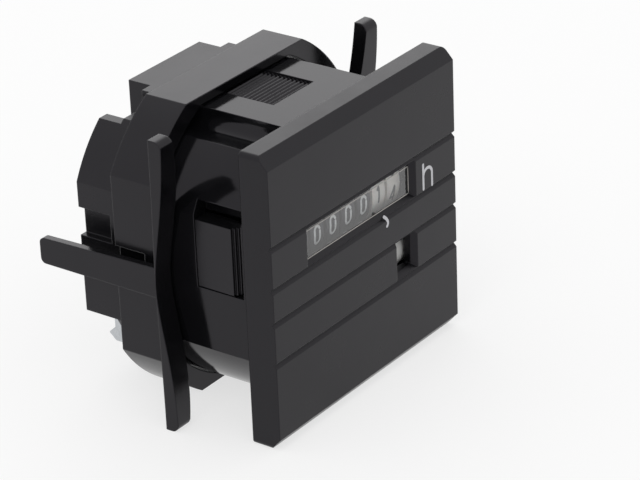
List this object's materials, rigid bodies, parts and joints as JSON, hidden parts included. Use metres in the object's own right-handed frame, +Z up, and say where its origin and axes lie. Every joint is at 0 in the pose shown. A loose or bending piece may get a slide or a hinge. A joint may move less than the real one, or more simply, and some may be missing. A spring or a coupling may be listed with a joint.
{
  "type": "hour meter",
  "caption": "Panel-mount hour meter: square bezel, number wheels behind a window, running indicator, round flatted barrel and a ratchet clamp frame.",
  "frame": {"origin": "centre of the bezel's rear face, which seats on the front of the panel", "axes": "+X right seen from the front, +Y from the front to the rear along the barrel, +Z up"},
  "size_m": [0.054, 0.0418, 0.048],
  "materials": {
    "housing_plastic": "fine spark-eroded moulding, semi-gloss",
    "clear_lens": "clear moulded lens, polished",
    "frame_plastic": "moulded, semi-gloss",
    "ground_steel": "ground",
    "pressed_steel": "pressed sheet",
    "gear_nylon": "moulded, satin",
    "indicator_plastic": "moulded, painted",
    "rotor_ferrite": "ground",
    "bobbin_nylon": "moulded, satin",
    "copper_wire": "enamelled wire",
    "cover_plastic": "moulded, semi-gloss",
    "terminal_brass": "stamped",
    "plated_steel": "zinc plated",
    "clamp_plastic": "moulded, satin",
    "black_wheel": "moulded, printed",
    "white_wheel": "moulded, printed",
    "plate_plastic": "moulded",
    "pinion_plastic": "moulded"
  },
  "bodies": {
    "housing": {"front_housing": "housing_plastic", "window_lens": "clear_lens", "counter_frame": "frame_plastic", "wheel_axle": "ground_steel", "pinion_rail": "pressed_steel", "transfer_plate_1": "plate_plastic", "transfer_plate_2": "plate_plastic", "transfer_plate_3": "plate_plastic", "transfer_plate_4": "plate_plastic", "transfer_plate_5": "plate_plastic", "transfer_plate_6": "plate_plastic", "gear_studs": "ground_steel", "stator_cup_left": "pressed_steel", "stator_cup_right": "pressed_steel", "coil_bobbin": "bobbin_nylon", "coil_winding": "copper_wire", "rear_cover": "cover_plastic", "terminal_left": "terminal_brass", "terminal_right": "terminal_brass", "terminal_screws": "plated_steel"},
    "rotor": {"rotor_magnet": "rotor_ferrite", "rotor_shaft": "ground_steel"},
    "reduction_1": {"reduction_gear_1": "gear_nylon"},
    "reduction_2": {"reduction_gear_2": "gear_nylon"},
    "reduction_3": {"reduction_gear_3": "gear_nylon"},
    "indicator": {"running_indicator": "indicator_plastic"},
    "clamp": {"clamp_frame": "clamp_plastic"},
    "wheel_1": {"number_wheel_1": "black_wheel"},
    "wheel_2": {"number_wheel_2": "black_wheel"},
    "wheel_3": {"number_wheel_3": "black_wheel"},
    "wheel_4": {"number_wheel_4": "black_wheel"},
    "wheel_5": {"number_wheel_5": "black_wheel"},
    "wheel_6": {"number_wheel_6": "white_wheel"},
    "wheel_7": {"number_wheel_7": "white_wheel", "drive_gear": "gear_nylon"},
    "pinion_1": {"transfer_pinion_1": "pinion_plastic"},
    "pinion_2": {"transfer_pinion_2": "pinion_plastic"},
    "pinion_3": {"transfer_pinion_3": "pinion_plastic"},
    "pinion_4": {"transfer_pinion_4": "pinion_plastic"},
    "pinion_5": {"transfer_pinion_5": "pinion_plastic"},
    "pinion_6": {"transfer_pinion_6": "pinion_plastic"}
  },
  "joints": [
    {"name": "rotor_spin", "type": "hinge", "parent": "housing", "child": "rotor", "pos_m": [0, 0.0195, -0.009], "axis": [1, 0, 0], "continuous": true},
    {"name": "gear_1_spin", "type": "hinge", "parent": "housing", "child": "reduction_1", "pos_m": [0.017, 0.01195, -0.00316], "axis": [1, 0, 0], "continuous": true},
    {"name": "gear_2_spin", "type": "hinge", "parent": "housing", "child": "reduction_2", "pos_m": [0.0155, 0.0179, 0.005], "axis": [1, 0, 0], "continuous": true},
    {"name": "gear_3_spin", "type": "hinge", "parent": "housing", "child": "reduction_3", "pos_m": [0.014, 0.0127, 0.00714], "axis": [1, 0, 0], "continuous": true},
    {"name": "indicator_spin", "type": "hinge", "parent": "housing", "child": "indicator", "pos_m": [0.01, 0.00126, -0.00658], "axis": [1, 0, 0], "continuous": true},
    {"name": "wheel_7_spin", "type": "hinge", "parent": "housing", "child": "wheel_7", "pos_m": [0.0106, 0.0047, 0.00565], "axis": [1, 0, 0], "continuous": true},
    {"name": "wheel_6_spin", "type": "hinge", "parent": "housing", "child": "wheel_6", "pos_m": [0.0066, 0.0047, 0.00565], "axis": [1, 0, 0], "continuous": true},
    {"name": "wheel_5_spin", "type": "hinge", "parent": "housing", "child": "wheel_5", "pos_m": [0.0026, 0.0047, 0.00565], "axis": [1, 0, 0], "continuous": true},
    {"name": "wheel_4_spin", "type": "hinge", "parent": "housing", "child": "wheel_4", "pos_m": [-0.0014, 0.0047, 0.00565], "axis": [1, 0, 0], "continuous": true},
    {"name": "wheel_3_spin", "type": "hinge", "parent": "housing", "child": "wheel_3", "pos_m": [-0.0054, 0.0047, 0.00565], "axis": [1, 0, 0], "continuous": true},
    {"name": "wheel_2_spin", "type": "hinge", "parent": "housing", "child": "wheel_2", "pos_m": [-0.0094, 0.0047, 0.00565], "axis": [1, 0, 0], "continuous": true},
    {"name": "wheel_1_spin", "type": "hinge", "parent": "housing", "child": "wheel_1", "pos_m": [-0.0134, 0.0047, 0.00565], "axis": [1, 0, 0], "continuous": true},
    {"name": "pinion_6_spin", "type": "hinge", "parent": "housing", "child": "pinion_6", "pos_m": [0.0086, 0.0047, 0.00985], "axis": [1, 0, 0], "continuous": true},
    {"name": "pinion_5_spin", "type": "hinge", "parent": "housing", "child": "pinion_5", "pos_m": [0.0046, 0.0047, 0.00985], "axis": [1, 0, 0], "continuous": true},
    {"name": "pinion_4_spin", "type": "hinge", "parent": "housing", "child": "pinion_4", "pos_m": [0.0006, 0.0047, 0.00985], "axis": [1, 0, 0], "continuous": true},
    {"name": "pinion_3_spin", "type": "hinge", "parent": "housing", "child": "pinion_3", "pos_m": [-0.0034, 0.0047, 0.00985], "axis": [1, 0, 0], "continuous": true},
    {"name": "pinion_2_spin", "type": "hinge", "parent": "housing", "child": "pinion_2", "pos_m": [-0.0074, 0.0047, 0.00985], "axis": [1, 0, 0], "continuous": true},
    {"name": "pinion_1_spin", "type": "hinge", "parent": "housing", "child": "pinion_1", "pos_m": [-0.0114, 0.0047, 0.00985], "axis": [1, 0, 0], "continuous": true},
    {"name": "clamp_slide", "type": "slide", "parent": "housing", "child": "clamp", "axis": [0, 1, 0], "range_m": [-0.0106, 0.003]}
  ],
  "couplings": [
    {"joint": "gear_1_spin", "follows": "rotor_spin", "ratio": -0.13333},
    {"joint": "gear_2_spin", "follows": "rotor_spin", "ratio": 0.016667},
    {"joint": "gear_3_spin", "follows": "rotor_spin", "ratio": -0.0041667},
    {"joint": "indicator_spin", "follows": "rotor_spin", "ratio": 0.4},
    {"joint": "wheel_7_spin", "follows": "rotor_spin", "ratio": 0.00066667},
    {"joint": "wheel_6_spin", "follows": "rotor_spin", "ratio": 0.000066667},
    {"joint": "wheel_5_spin", "follows": "rotor_spin", "ratio": 0.0000066667},
    {"joint": "wheel_4_spin", "follows": "rotor_spin", "ratio": 0.00000066667},
    {"joint": "wheel_3_spin", "follows": "rotor_spin", "ratio": 0.000000066667},
    {"joint": "wheel_2_spin", "follows": "rotor_spin", "ratio": 0.0000000066667},
    {"joint": "wheel_1_spin", "follows": "rotor_spin", "ratio": 0.00000000066667},
    {"joint": "pinion_6_spin", "follows": "rotor_spin", "ratio": 0.00022222},
    {"joint": "pinion_5_spin", "follows": "rotor_spin", "ratio": 0.000022222},
    {"joint": "pinion_4_spin", "follows": "rotor_spin", "ratio": 0.0000022222},
    {"joint": "pinion_3_spin", "follows": "rotor_spin", "ratio": 0.00000022222},
    {"joint": "pinion_2_spin", "follows": "rotor_spin", "ratio": 0.000000022222},
    {"joint": "pinion_1_spin", "follows": "rotor_spin", "ratio": 0.0000000022222}
  ]
}
